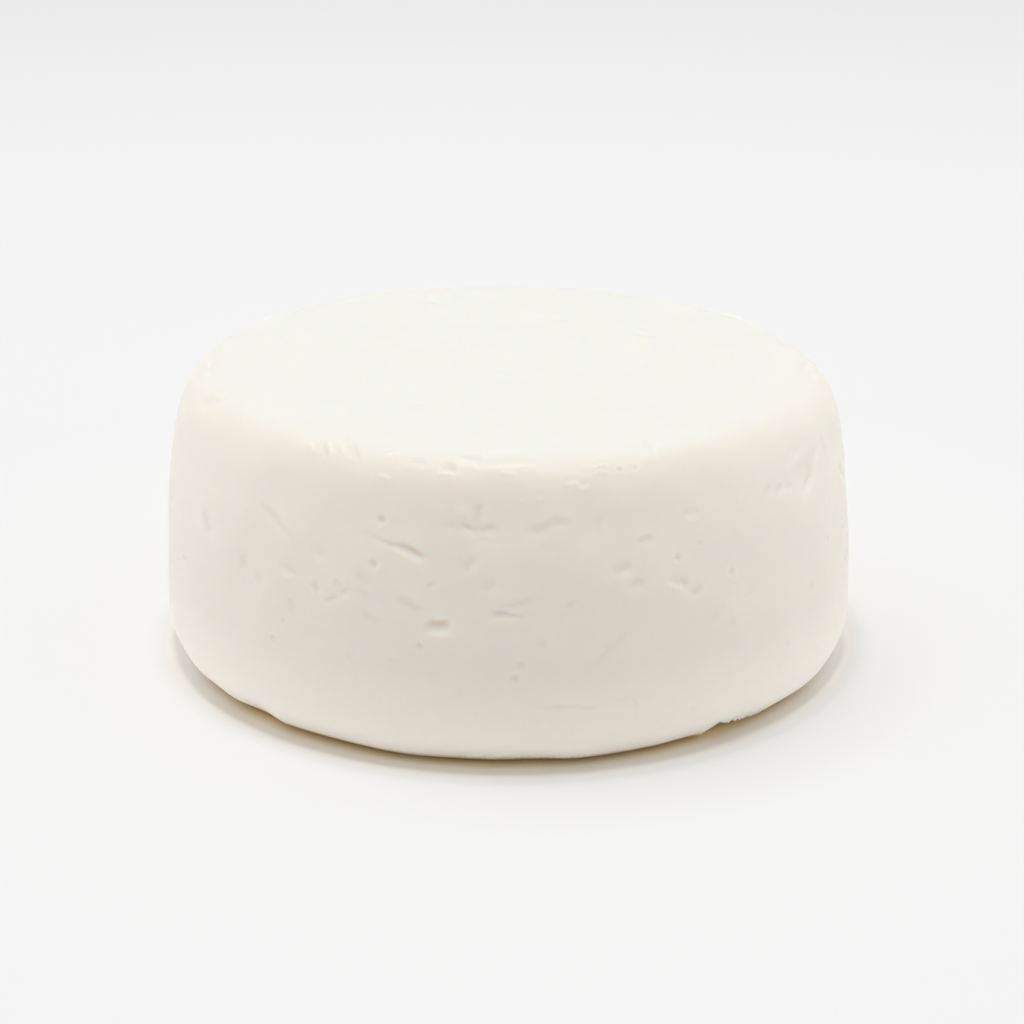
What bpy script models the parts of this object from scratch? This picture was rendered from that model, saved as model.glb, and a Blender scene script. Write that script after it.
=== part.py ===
"""Fresh mozzarella shaped as a squat drum, in one solid piece.

The drum stands on its own flat foot, +Z up, with its front towards -Y. It is widest low on its side
and rolls over a soft shoulder into a flat crown. Cuts, finger dents, pits and creases are relief in
the solid, and a flap of torn skin hangs on the lower rim at the front right.
Azimuths are degrees round the axis from the front, growing towards +X.
"""

import collections
import math

import bmesh
import bpy
from mathutils import Vector

MM = 0.001

# Driving sizes of the drum
RADIUS = 36.5 * MM
HEIGHT = 30.15 * MM
BELLY_HEIGHT = 5.65 * MM
FOOT_RADIUS = 32.85 * MM

# How square the side and the crown meet: a larger number is a tighter corner
SHOULDER_SQUARE = 23.0
FRONT_SHOULDER_SQUARE = 15.0
CROWN_ROUND = 1.6
FOOT_SQUARE = 1.2
FOOT_ROUND = 3.0

# The crown is a little higher on the left, and the outline is not quite a circle
LEAN = 0.010
UNEVEN = ((2, 0.0012, 0.6), (3, 0.0022, 1.9), (5, 0.0014, 0.4))

# How finely the turned drum is divided, before the skin marks
TURN_STEPS = 84
CROWN_STEP = 3.6 * MM
SHOULDER_STEP = 1.5 * MM
SIDE_STEP = 2.3 * MM
FOOT_STEP = 1.0 * MM
SHOULDER_INNER = 26.5 * MM
SHOULDER_LOW = 21.0 * MM
AXIS_MERGE = 0.00001

# How finely the skin is divided beside a mark, as a share of the mark's width
MARK_FINENESS = 1.0
MARK_SPREAD = 1.3
FINEST = 0.36 * MM
REFINE_ROUNDS = 5

# The torn rim: its azimuths, the height of its edge, and how far it stands out and falls back
FLAP_START = 17.0
FLAP_TIP = 34.6
TEAR_END = 47.0
TEAR_RAMP = 2.2
RIM_HEIGHT = 1.7 * MM
RIM_REACH = 1.1 * MM
FOOT_FADE = 0.7 * MM
FLAP_PROUD = 0.34 * MM
TEAR_DEEP = 0.38 * MM
TEAR_RAGGED = 0.13 * MM

# Colour and finish of the moist skin
SKIN_COLOUR = (0.86, 0.82, 0.72, 1.0)
SKIN_ROUGHNESS = 0.42

# A mark runs between two places. On the side a place is an azimuth and a height in millimetres,
# and on the crown it is an azimuth and a distance from the axis in millimetres.
Mark = collections.namedtuple("Mark", "zone start end bow width depth")
SIDE, CROWN = "side", "crown"

# Open cuts, with a steep upper wall and a sloping lower lip
CUTS = (
    Mark(SIDE, (-19.4, 22.7), (-12.3, 21.4), 0.25, 0.45, 0.55),
    Mark(SIDE, (-12.6, 15.0), (-8.3, 15.5), 0.10, 0.52, 0.70),
    Mark(SIDE, (-2.0, 16.5), (2.2, 16.3), -0.10, 0.42, 0.45),
    Mark(SIDE, (4.7, 7.1), (13.8, 6.6), 0.15, 0.38, 0.26),
    Mark(SIDE, (16.4, 7.1), (19.7, 5.7), 0.75, 0.38, 0.26),
)

# Soft hollows left by fingers and by the brine
DENTS = (
    Mark(SIDE, (-57.4, 20.0), (-54.9, 17.8), 0.0, 0.60, 0.22),
    Mark(SIDE, (-43.0, 23.6), (-35.1, 20.8), 0.35, 0.42, 0.08),
    Mark(SIDE, (-31.6, 20.7), (-28.4, 20.2), 0.0, 0.50, 0.14),
    Mark(SIDE, (-37.8, 18.5), (-34.1, 18.0), 0.0, 0.45, 0.12),
    Mark(SIDE, (-28.8, 16.1), (-26.3, 16.9), 0.0, 0.45, 0.16),
    Mark(SIDE, (-16.8, 17.4), (-12.7, 16.5), 0.0, 0.50, 0.20),
    Mark(SIDE, (-7.3, 25.5), (-3.4, 26.3), 0.0, 0.50, 0.20),
    Mark(SIDE, (-6.3, 24.7), (0.6, 24.4), 0.3, 0.50, 0.24),
    Mark(SIDE, (3.1, 24.5), (10.6, 24.9), 0.3, 0.50, 0.16),
    Mark(SIDE, (11.8, 10.5), (19.7, 14.8), 0.0, 0.42, 0.10),
    Mark(SIDE, (15.7, 19.9), (18.9, 20.2), 0.0, 0.60, 0.22),
    Mark(SIDE, (18.0, 18.6), (20.8, 18.8), 0.0, 0.50, 0.18),
    Mark(SIDE, (24.9, 18.3), (28.0, 17.6), 0.0, 0.50, 0.18),
    Mark(SIDE, (28.8, 16.5), (30.7, 17.1), 0.0, 0.50, 0.18),
    Mark(SIDE, (38.3, 14.2), (41.8, 15.3), 0.0, 0.45, 0.14),
    Mark(SIDE, (55.5, 23.0), (61.0, 26.0), 0.3, 0.60, 0.18),
    Mark(CROWN, (-70.2, 32.2), (-64.5, 31.4), 0.0, 1.00, 0.45),
)

# Round pits: azimuth, height and radius
PIT_DEPTH = 0.28
PITS = (
    (-19.7, 24.5, 0.45),
    (-20.6, 20.4, 0.42),
    (-13.2, 13.0, 0.36),
    (1.9, 11.4, 0.38),
    (1.2, 10.1, 0.38),
    (36.7, 17.7, 0.36),
)

# Raised creases of slack skin where the crown turns into the front
CREASES = (
    Mark(CROWN, (-39.0, 29.6), (-27.0, 30.2), 0.3, 0.80, 0.16),
    Mark(CROWN, (-20.5, 31.2), (-9.5, 30.2), -0.4, 0.60, 0.22),
    Mark(CROWN, (-10.0, 29.2), (5.0, 30.7), 0.5, 0.60, 0.24),
    Mark(CROWN, (4.6, 29.7), (18.4, 31.7), 0.4, 0.60, 0.22),
    Mark(CROWN, (17.5, 31.7), (30.5, 29.8), -0.5, 0.70, 0.20),
)


def share_of(value, low, high):
    """Rises smoothly from 0 at low to 1 at high."""
    t = min(max((value - low) / (high - low), 0.0), 1.0)
    return t * t * (3.0 - 2.0 * t)


def azimuth_of(point):
    return math.atan2(point.x, -point.y)


def upper_outline(side, rise, square):
    """A point of the outline above the belly, from its cosine and sine on the unit circle."""
    radius = RADIUS * side ** (2.0 / square)
    return radius, BELLY_HEIGHT + (HEIGHT - BELLY_HEIGHT) * rise ** (2.0 / CROWN_ROUND)


def lower_outline(side, rise):
    """A point of the outline between the belly and the foot."""
    radius = FOOT_RADIUS + (RADIUS - FOOT_RADIUS) * side ** (2.0 / FOOT_SQUARE)
    return radius, BELLY_HEIGHT * (1.0 - rise ** (2.0 / FOOT_ROUND))


def full_outline(count=4000):
    """The turned outline from the middle of the crown to the middle of the foot, closely spaced."""
    outline = [(0.0, HEIGHT)]
    for step in range(1, count):
        side = (step / count) ** (SHOULDER_SQUARE / 2.0)
        outline.append(upper_outline(side, math.sqrt(1.0 - side * side), SHOULDER_SQUARE))
    for step in range(count):
        turn = 0.5 * math.pi * step / count
        outline.append(lower_outline(math.cos(turn), math.sin(turn)))
    outline.append((FOOT_RADIUS, 0.0))
    return outline


def wanted_step(radius, height):
    if height > SHOULDER_LOW:
        return CROWN_STEP if radius < SHOULDER_INNER else SHOULDER_STEP
    return SIDE_STEP if height > BELLY_HEIGHT else FOOT_STEP


def spaced_outline():
    """The outline's points, thinned to the step that each zone asks for."""
    dense = full_outline()
    kept = [dense[0]]
    for point in dense[1:-1]:
        if math.dist(point, kept[-1]) >= wanted_step(*point):
            kept.append(point)
    if math.dist(kept[-1], dense[-1]) < 0.5 * FOOT_STEP:
        kept.pop()
    kept.append(dense[-1])
    kept.extend((FOOT_RADIUS * share, 0.0) for share in (0.85, 0.5, 0.0))
    return kept


def turned_drum(collection):
    """The plain drum: its outline turned about the axis by a Screw modifier, then made a mesh."""
    outline = spaced_outline()
    profile = bpy.data.meshes.new("drum_outline")
    edges = [(i, i + 1) for i in range(len(outline) - 1)]
    profile.from_pydata([(radius, 0.0, height) for radius, height in outline], edges, [])
    guide = bpy.data.objects.new("drum_outline", profile)
    collection.objects.link(guide)
    turn = guide.modifiers.new("Turn", "SCREW")
    turn.axis = "Z"
    turn.angle = 2.0 * math.pi
    turn.steps = TURN_STEPS
    turn.render_steps = TURN_STEPS
    turn.use_merge_vertices = True
    turn.merge_threshold = AXIS_MERGE
    bpy.context.view_layer.update()
    graph = bpy.context.evaluated_depsgraph_get()
    mesh = bpy.data.meshes.new_from_object(guide.evaluated_get(graph))
    bpy.data.objects.remove(guide, do_unlink=True)
    bpy.data.meshes.remove(profile)
    return mesh


def shoulder_square(azimuth):
    """The shoulder is rounder at the front, where the crown has slumped."""
    front = max(0.0, math.cos(azimuth)) ** 2
    return SHOULDER_SQUARE + (FRONT_SHOULDER_SQUARE - SHOULDER_SQUARE) * front


def settled(point):
    """Where a point of the turned drum lies on the true form, which slumps, leans and isn't round."""
    radius, height = math.hypot(point.x, point.y), point.z
    azimuth = azimuth_of(point)
    if height > BELLY_HEIGHT:
        side = min(radius / RADIUS, 1.0) ** (SHOULDER_SQUARE / 2.0)
        rise = ((height - BELLY_HEIGHT) / (HEIGHT - BELLY_HEIGHT)) ** (CROWN_ROUND / 2.0)
        whole = math.hypot(side, rise)
        radius, height = upper_outline(side / whole, rise / whole, shoulder_square(azimuth))
    elif height > 0.0:
        side = max((radius - FOOT_RADIUS) / (RADIUS - FOOT_RADIUS), 0.0) ** (FOOT_SQUARE / 2.0)
        rise = (1.0 - height / BELLY_HEIGHT) ** (FOOT_ROUND / 2.0)
        whole = math.hypot(side, rise)
        radius, height = lower_outline(side / whole, rise / whole)
    for lobes, size, phase in UNEVEN:
        radius *= 1.0 + size * math.sin(lobes * azimuth + phase)
    x, y = radius * math.sin(azimuth), -radius * math.cos(azimuth)
    return Vector((x, y, height * (1.0 - LEAN * x / RADIUS)))


def on_side(azimuth, height):
    """The place on the side at an azimuth in degrees and a height in millimetres."""
    azimuth, height = math.radians(azimuth), height * MM
    rise = (height - BELLY_HEIGHT) / (HEIGHT - BELLY_HEIGHT)
    radius = RADIUS * (1.0 - rise**CROWN_ROUND) ** (1.0 / shoulder_square(azimuth))
    return Vector((radius * math.sin(azimuth), -radius * math.cos(azimuth), height))


def on_crown(azimuth, radius):
    """The place on the crown at an azimuth in degrees and a distance from the axis in millimetres."""
    azimuth, radius = math.radians(azimuth), radius * MM
    fall = (radius / RADIUS) ** shoulder_square(azimuth)
    height = BELLY_HEIGHT + (HEIGHT - BELLY_HEIGHT) * (1.0 - fall) ** (1.0 / CROWN_ROUND)
    return Vector((radius * math.sin(azimuth), -radius * math.cos(azimuth), height))


class Track:
    """The line of a mark on the skin, with distances measured along it and across it."""

    def __init__(self, mark):
        place = on_side if mark.zone == SIDE else on_crown
        start, end = place(*mark.start), place(*mark.end)
        self.middle = (start + end) / 2.0
        self.half = (end - start).length / 2.0
        self.along = (end - start).normalized()
        outward = Vector((self.middle.x, self.middle.y, 0.0)).normalized()
        if mark.zone == CROWN:
            outward = (outward + Vector((0.0, 0.0, 1.5))).normalized()
        self.outward = outward
        self.across = outward.cross(self.along).normalized()
        self.bow = mark.bow * MM
        self.width = mark.width * MM
        self.depth = mark.depth * MM

    def measured(self, point):
        """Shares of the half length and of the width at which the point lies from the line."""
        offset = point - self.middle
        along = offset.dot(self.along) / self.half
        across = offset.dot(self.across) - self.bow * (1.0 - along * along)
        slope = 2.0 * self.bow * along / self.half
        return along, across / (self.width * math.hypot(1.0, slope))

    def gap(self, point):
        """How far the point lies outside the mark."""
        offset = point - self.middle
        if offset.length > self.half + 12.0 * self.width:
            return 1.0
        along, across = self.measured(point)
        beyond = max(abs(along) - 1.0, 0.0) * self.half
        beside = max(abs(across) - 1.1, 0.0) * self.width
        return math.hypot(beyond, beside)


def tapered(along):
    return math.exp(-(along**4) * 1.6)


def cut_relief(track, point):
    along, across = track.measured(point)
    if abs(along) > 1.5 or abs(across) > 4.0:
        return 0.0
    wall = across / 0.6 if across > 0.0 else across
    trough = math.exp(-wall * wall)
    lips = 0.16 * math.exp(-((abs(across) - 1.9) ** 2))
    return track.depth * tapered(along) * (lips - trough)


def dent_relief(track, point):
    along, across = track.measured(point)
    if abs(along) > 2.0 or abs(across) > 4.0:
        return 0.0
    hollow = math.exp(-across * across)
    rim = 0.35 * math.exp(-((across + 1.7) ** 2))
    return track.depth * tapered(along * 0.9) * (rim - hollow)


def crease_relief(track, point):
    along, across = track.measured(point)
    if abs(along) > 2.0 or abs(across) > 4.0:
        return 0.0
    fold = math.exp(-across * across) - 0.5 * math.exp(-((across - 1.6) ** 2))
    return track.depth * tapered(along * 0.9) * fold


def pit_relief(middle, radius, point):
    distance = (point - middle).length / radius
    return -PIT_DEPTH * MM * math.exp(-(distance**2)) if distance < 3.0 else 0.0


def rim_weight(height):
    """How much of the torn rim's relief a height takes."""
    return math.exp(-(((height - RIM_HEIGHT) / RIM_REACH) ** 2))


def rim_relief(azimuth, height):
    """The flap of skin that stands out of the lower rim, and the ragged hollow beyond its tip."""
    if not FLAP_START < azimuth < TEAR_END:
        return 0.0
    if azimuth < FLAP_TIP:
        proud = FLAP_PROUD * share_of(azimuth, FLAP_START, FLAP_TIP) ** 2
        return proud * rim_weight(height)
    torn = share_of(azimuth, FLAP_TIP, FLAP_TIP + TEAR_RAMP)
    healed = 1.0 - share_of(azimuth, TEAR_END - 2.0 * TEAR_RAMP, TEAR_END)
    ragged = TEAR_RAGGED * math.sin(2.9 * azimuth) * math.sin(1.3 * azimuth + 1.0)
    depth = FLAP_PROUD * (1.0 - torn) - (TEAR_DEEP + ragged) * torn * healed
    return depth * rim_weight(height)


class Skin:
    """All the marks, and the relief that they give a point of the settled form."""

    def __init__(self):
        self.cuts = [Track(mark) for mark in CUTS]
        self.dents = [Track(mark) for mark in DENTS]
        self.creases = [Track(mark) for mark in CREASES]
        self.pits = [(on_side(azimuth, height), radius * MM) for azimuth, height, radius in PITS]

    def wanted_edge(self, point):
        """The longest edge that the marks near a point allow."""
        wanted = SIDE_STEP * 2.0
        for track in self.cuts + self.dents + self.creases:
            wanted = min(wanted, track.width * MARK_FINENESS + MARK_SPREAD * track.gap(point))
        for middle, radius in self.pits:
            gap = max((point - middle).length - 1.5 * radius, 0.0)
            wanted = min(wanted, radius * MARK_FINENESS + MARK_SPREAD * gap)
        azimuth = math.degrees(azimuth_of(point))
        beside = max(FLAP_TIP - 4.0 - azimuth, azimuth - TEAR_END, 0.0)
        above = max(point.z - RIM_HEIGHT - RIM_REACH, 0.0)
        beside = RADIUS * math.radians(beside)
        wanted = min(wanted, 0.6 * MM + MARK_SPREAD * math.hypot(beside, above))
        return max(wanted, FINEST)

    def relief(self, point):
        if point.z <= 0.0:
            return 0.0
        total = rim_relief(math.degrees(azimuth_of(point)), point.z)
        total += sum(cut_relief(track, point) for track in self.cuts)
        total += sum(dent_relief(track, point) for track in self.dents)
        total += sum(crease_relief(track, point) for track in self.creases)
        total += sum(pit_relief(middle, radius, point) for middle, radius in self.pits)
        return total * share_of(point.z, 0.0, FOOT_FADE)


def divided(form, skin):
    """Splits the edges that are too long for the marks beside them, a round at a time."""
    bmesh.ops.triangulate(form, faces=form.faces)
    for _ in range(REFINE_ROUNDS):
        long_edges = []
        for edge in form.edges:
            start, end = settled(edge.verts[0].co), settled(edge.verts[1].co)
            if start.z <= 0.0 and end.z <= 0.0:
                continue
            if (end - start).length > skin.wanted_edge((start + end) / 2.0):
                long_edges.append(edge)
        if not long_edges:
            return
        bmesh.ops.subdivide_edges(form, edges=long_edges, cuts=1)
        wide = [face for face in form.faces if len(face.verts) > 3]
        bmesh.ops.triangulate(form, faces=wide)


def marked(form, skin):
    """Moves every point to the settled form, then along its normal by the relief of the marks."""
    for vertex in form.verts:
        vertex.co = settled(vertex.co)
    form.normal_update()
    moves = [(vertex, vertex.normal * skin.relief(vertex.co)) for vertex in form.verts]
    for vertex, move in moves:
        vertex.co += move


def centred(form):
    """Puts the middle of the outline over the origin, with the foot on the ground."""
    xs = [vertex.co.x for vertex in form.verts]
    ys = [vertex.co.y for vertex in form.verts]
    middle = Vector((min(xs) + max(xs), min(ys) + max(ys), 0.0)) / 2.0
    for vertex in form.verts:
        vertex.co -= middle


def skin_material():
    material = bpy.data.materials.new("moist_skin")
    material.use_nodes = True
    shader = material.node_tree.nodes["Principled BSDF"]
    shader.inputs["Base Color"].default_value = SKIN_COLOUR
    shader.inputs["Roughness"].default_value = SKIN_ROUGHNESS
    shader.inputs["Metallic"].default_value = 0.0
    return material


def mozzarella(collection):
    """The whole drum with its marks, as one object."""
    mesh = turned_drum(collection)
    mesh.name = "mozzarella_drum"
    skin = Skin()
    form = bmesh.new()
    form.from_mesh(mesh)
    divided(form, skin)
    marked(form, skin)
    centred(form)
    form.to_mesh(mesh)
    form.free()
    mesh.shade_smooth()
    mesh.materials.clear()
    mesh.materials.append(skin_material())
    drum = bpy.data.objects.new("mozzarella_drum", mesh)
    collection.objects.link(drum)
    return drum


def main():
    for item in list(bpy.data.objects):
        bpy.data.objects.remove(item, do_unlink=True)
    collection = bpy.data.collections.new("mozzarella")
    bpy.context.scene.collection.children.link(collection)
    mozzarella(collection)


main()
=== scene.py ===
"""A squat drum of fresh mozzarella, with its moist and lightly marked skin, on a pale floor.

The drum stands on its own foot, +Z up, with its front towards -Y. Lengths in the tables are
millimetres, and azimuths are degrees round the axis from the front, growing towards +X.
"""

import functools
import math

import bmesh
import bpy
import numpy as np
from bpy.props import FloatProperty, FloatVectorProperty, IntProperty, PointerProperty
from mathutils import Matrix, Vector


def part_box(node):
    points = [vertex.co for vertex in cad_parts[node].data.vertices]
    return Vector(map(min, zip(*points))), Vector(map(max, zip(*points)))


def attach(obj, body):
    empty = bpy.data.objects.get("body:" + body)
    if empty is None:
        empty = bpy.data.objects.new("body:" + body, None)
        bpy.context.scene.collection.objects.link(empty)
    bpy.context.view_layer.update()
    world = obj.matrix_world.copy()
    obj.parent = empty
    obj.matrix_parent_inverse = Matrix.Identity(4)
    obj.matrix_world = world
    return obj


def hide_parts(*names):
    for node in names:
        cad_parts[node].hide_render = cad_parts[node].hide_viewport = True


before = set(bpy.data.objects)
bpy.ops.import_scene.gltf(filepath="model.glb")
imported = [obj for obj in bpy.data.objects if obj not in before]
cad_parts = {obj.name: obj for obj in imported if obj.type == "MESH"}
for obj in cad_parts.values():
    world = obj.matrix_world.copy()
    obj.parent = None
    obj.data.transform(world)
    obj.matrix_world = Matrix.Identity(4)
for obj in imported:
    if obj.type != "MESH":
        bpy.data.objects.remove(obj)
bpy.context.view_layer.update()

bl_info = {
    "name": "Mozzarella drum",
    "version": (1, 0, 0),
    "blender": (4, 5, 0),
    "location": "View3D > Sidebar > Mozzarella",
    "description": "Builds a drum of fresh mozzarella with its cuts, dents and folds, and a pale stage",
    "category": "Add Mesh",
}

MM = 0.001
NODE = "mozzarella_drum"
BODY = "root"
HOLLOW_SHADE_ATTRIBUTE = "hollow"
CAD_LOW, CAD_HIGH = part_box(NODE)

SENSOR_MM = 36.0
WHITE = (1.0, 1.0, 1.0, 1.0)

# The crown's height over the axis, as a share of the solid's: its left side leans above that
CROWN_SHARE = 0.993

LengthProperty = functools.partial(FloatProperty, unit="LENGTH")
FactorProperty = functools.partial(FloatProperty, subtype="FACTOR")
ColourProperty = functools.partial(FloatVectorProperty, size=4, subtype="COLOR")


class DrumSizes(bpy.types.PropertyGroup):
    """The sizes of the turned drum, before its marks."""

    radius: LengthProperty(
        name="Radius",
        description="Radius at the belly, where the drum is widest",
        default=(CAD_HIGH.x - CAD_LOW.x) / 2.0,
    )
    height: LengthProperty(
        name="Height",
        description="Height of the flat crown above the foot",
        default=(CAD_HIGH.z - CAD_LOW.z) * CROWN_SHARE,
    )
    belly_share: FactorProperty(
        name="Belly height",
        description="Height of the widest place, as a share of the radius",
        default=0.155,
    )
    foot_share: FactorProperty(
        name="Foot radius",
        description="Radius of the flat foot, as a share of the belly's",
        default=0.9,
    )
    shoulder_square: FloatProperty(
        name="Shoulder squareness", description="How tightly the side turns into the crown", default=23.0
    )
    front_square: FloatProperty(
        name="Front squareness",
        description="How tightly the side turns into the crown at the front, where it has slumped",
        default=21.0,
    )
    crown_round: FloatProperty(
        name="Side roundness",
        description="How the side curves in from the belly to the crown",
        default=1.6,
    )
    foot_square: FloatProperty(
        name="Foot squareness", description="How the foot's rim leaves the floor", default=1.2
    )
    foot_round: FloatProperty(
        name="Foot roundness",
        description="How the rim curves up from the floor to the belly",
        default=3.0,
    )
    lean: FactorProperty(
        name="Lean",
        description="How much higher the crown is at the left, as a share of the height",
        default=0.010,
    )
    swell: LengthProperty(
        name="Swell", description="Depth of the broad, soft unevenness of the skin", default=0.05 * MM
    )
    scattered: IntProperty(
        name="Marks at the back",
        description="How many marks the sides and the back have, beside a fifth as many folds",
        default=90,
    )
    seed: IntProperty(
        name="Seed", description="Start of the random draw of the marks at the back", default=7
    )


class SkinLooks(bpy.types.PropertyGroup):
    """The colours of the cheese, with light and shade painted into them, and its finish."""

    # Partly painted light: the crown is painted darker than the side and the side lighter, to balance
    # the lamp that lights the crown; the side's creamier tone is partly the cheese's own
    crown_colour: ColourProperty(
        name="Crown", description="Colour of the pale crown", default=(0.702, 0.698, 0.652, 1.0)
    )
    # Partly the shoulder's warmer tone and partly painted shade: the band is painted darker where the
    # side turns away from the lamp under the shoulder
    shoulder_tone_and_shade_colour: ColourProperty(
        name="Shoulder",
        description="Colour of the warmer band where the crown turns into the side",
        default=(0.712, 0.672, 0.608, 1.0),
    )
    side_colour: ColourProperty(
        name="Side", description="Colour of the creamier side", default=(0.802, 0.762, 0.686, 1.0)
    )
    # Painted light: the skin just over the foot is painted lighter and warmer for the light that the
    # floor throws up onto it
    foot_light_colour: ColourProperty(
        name="Foot",
        description="Colour of the skin just over the foot",
        default=(0.910, 0.862, 0.786, 1.0),
    )
    # Painted shade: the skin where it turns under at the foot's rim is painted dark brown for the shade
    # in the gap over the floor
    under_shade_colour: ColourProperty(
        name="Under the rim",
        description="Colour of the skin where it turns under at the foot's rim",
        default=(0.50, 0.41, 0.24, 1.0),
    )
    blush_colour: ColourProperty(
        name="Blush",
        description="Colour of the faintly warmer patches",
        default=(0.808, 0.748, 0.670, 1.0),
    )
    # Painted shade and painted warm light: the bottoms of the cuts and pits are painted darker and
    # warmer for the shade there and the light that comes through the cheese
    hollow_shade_colour: ColourProperty(
        name="Hollows",
        description="Colour at the bottom of the cuts and pits, where the light comes through",
        default=(0.840, 0.745, 0.520, 1.0),
    )
    roughness: FactorProperty(
        name="Roughness", description="Roughness of the skin under its moisture", default=0.52
    )
    moisture: FactorProperty(
        name="Moisture", description="Weight of the wet film over the skin", default=0.30
    )
    moisture_roughness: FactorProperty(
        name="Moisture roughness", description="Roughness of the wet film", default=0.13
    )
    translucency: FactorProperty(
        name="Translucency",
        description="Share of the light that passes through the cheese",
        default=1.0,
    )
    light_depth: LengthProperty(
        name="Light depth", description="How far light spreads under the skin", default=2.2 * MM
    )


class StageSettings(bpy.types.PropertyGroup):
    """The floor with its painted glow, light and shade, the lights and the camera."""

    floor_colour: ColourProperty(
        name="Floor", description="Colour of the pale floor", default=(0.713, 0.713, 0.713, 1.0)
    )
    # Painted light: the floor beside and under the rim is painted warm for the light that the cheese
    # throws onto it and into its shadow
    painted_glow_colour: ColourProperty(
        name="Glow",
        description="Colour of the floor beside the rim, warmed by light from the cheese",
        default=(0.90, 0.845, 0.735, 1.0),
    )
    rim_glow_colour: ColourProperty(
        name="Glow under the rim",
        description="Colour of the floor where the rim meets it",
        default=(0.90, 0.72, 0.42, 1.0),
    )
    shade_colour: ColourProperty(
        name="Shade",
        description="Colour that deepens the soft shade at the front right of the drum",
        default=(0.46, 0.455, 0.44, 1.0),
    )
    floor_radius: LengthProperty(
        name="Floor radius", description="Radius of the floor", default=6.0
    )
    surround: FloatProperty(
        name="Surround",
        description="Brightness of the white surround at the height of the floor",
        default=1.06,
    )
    surround_sides: FloatProperty(
        name="Surround sides",
        description="How much brighter the surround is at the left and right than in front",
        default=0.58,
    )
    surround_overhead: FloatProperty(
        name="Surround overhead",
        description="How much dimmer the surround is straight overhead",
        default=0.55,
    )
    lamp_size: LengthProperty(
        name="Lamp size", description="Width of the soft lamp", default=0.36
    )
    lamp_place: FloatVectorProperty(
        name="Lamp place",
        description="Where the soft lamp hangs over the drum",
        default=(-0.02, 0.02, 1.20),
        unit="LENGTH",
        subtype="TRANSLATION",
    )
    lamp_power: FloatProperty(
        name="Lamp power", description="Power of the soft lamp", default=7.5, unit="POWER"
    )
    camera_distance: LengthProperty(
        name="Camera distance",
        description="Distance from the camera to the middle of the drum",
        default=255.5 * MM,
    )
    camera_elevation: FloatProperty(
        name="Camera elevation",
        description="Angle at which the camera looks down",
        default=math.radians(20.05),
        subtype="ANGLE",
    )
    camera_focal: FloatProperty(
        name="Focal length", description="Focal length of the camera", default=83.95
    )
    aim_right: LengthProperty(
        name="Aim right",
        description="How far right of the drum's middle the camera looks",
        default=0.43 * MM,
    )
    aim_down: LengthProperty(
        name="Aim down",
        description="How far under the drum's middle the camera looks",
        default=1.90 * MM,
    )


# Steps of the turned drum, where its shoulder lies, and how fine the skin gets beside a mark
TURN_STEPS = 200
CROWN_STEP = 1.7
SHOULDER_STEP = 0.9
SIDE_STEP = 1.15
FOOT_STEP = 0.6
FOOT_RINGS = (0.95, 0.8, 0.6, 0.4, 0.2, 0.0)
SHOULDER_INNER = 24.0
SHOULDER_STEEP = 32.0
SHOULDER_LOW = 20.0
AXIS_MERGE = 0.00001
MARK_FINENESS = 0.57
MARK_SPREAD = 0.85
MARK_REACH = 6.0
FINEST = 0.13
REFINE_ROUNDS = 6

# How fine the rim is where it is flecked, up to which height, and about how long a degree is
RIM_FINENESS = 0.24
RIM_HEIGHT = 2.6
RIM_DEGREE = 0.6

# How much lower the crown gets for each step to the right
CROWN_LEAN = 0.0083

# Lobes, size and phase of the outline's departure from a circle
UNEVEN = ((2, 0.0012, 0.6), (3, 0.0022, 1.9), (5, 0.0014, 0.4))

# The broad, soft waves of the skin, which are weaker on the crown
SWELL_SEED = 11
SWELL_WAVES = 26
SWELL_LENGTHS = (6.0, 15.0)
SWELL_CALM = 0.75
CALM_END = 31.0

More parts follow.
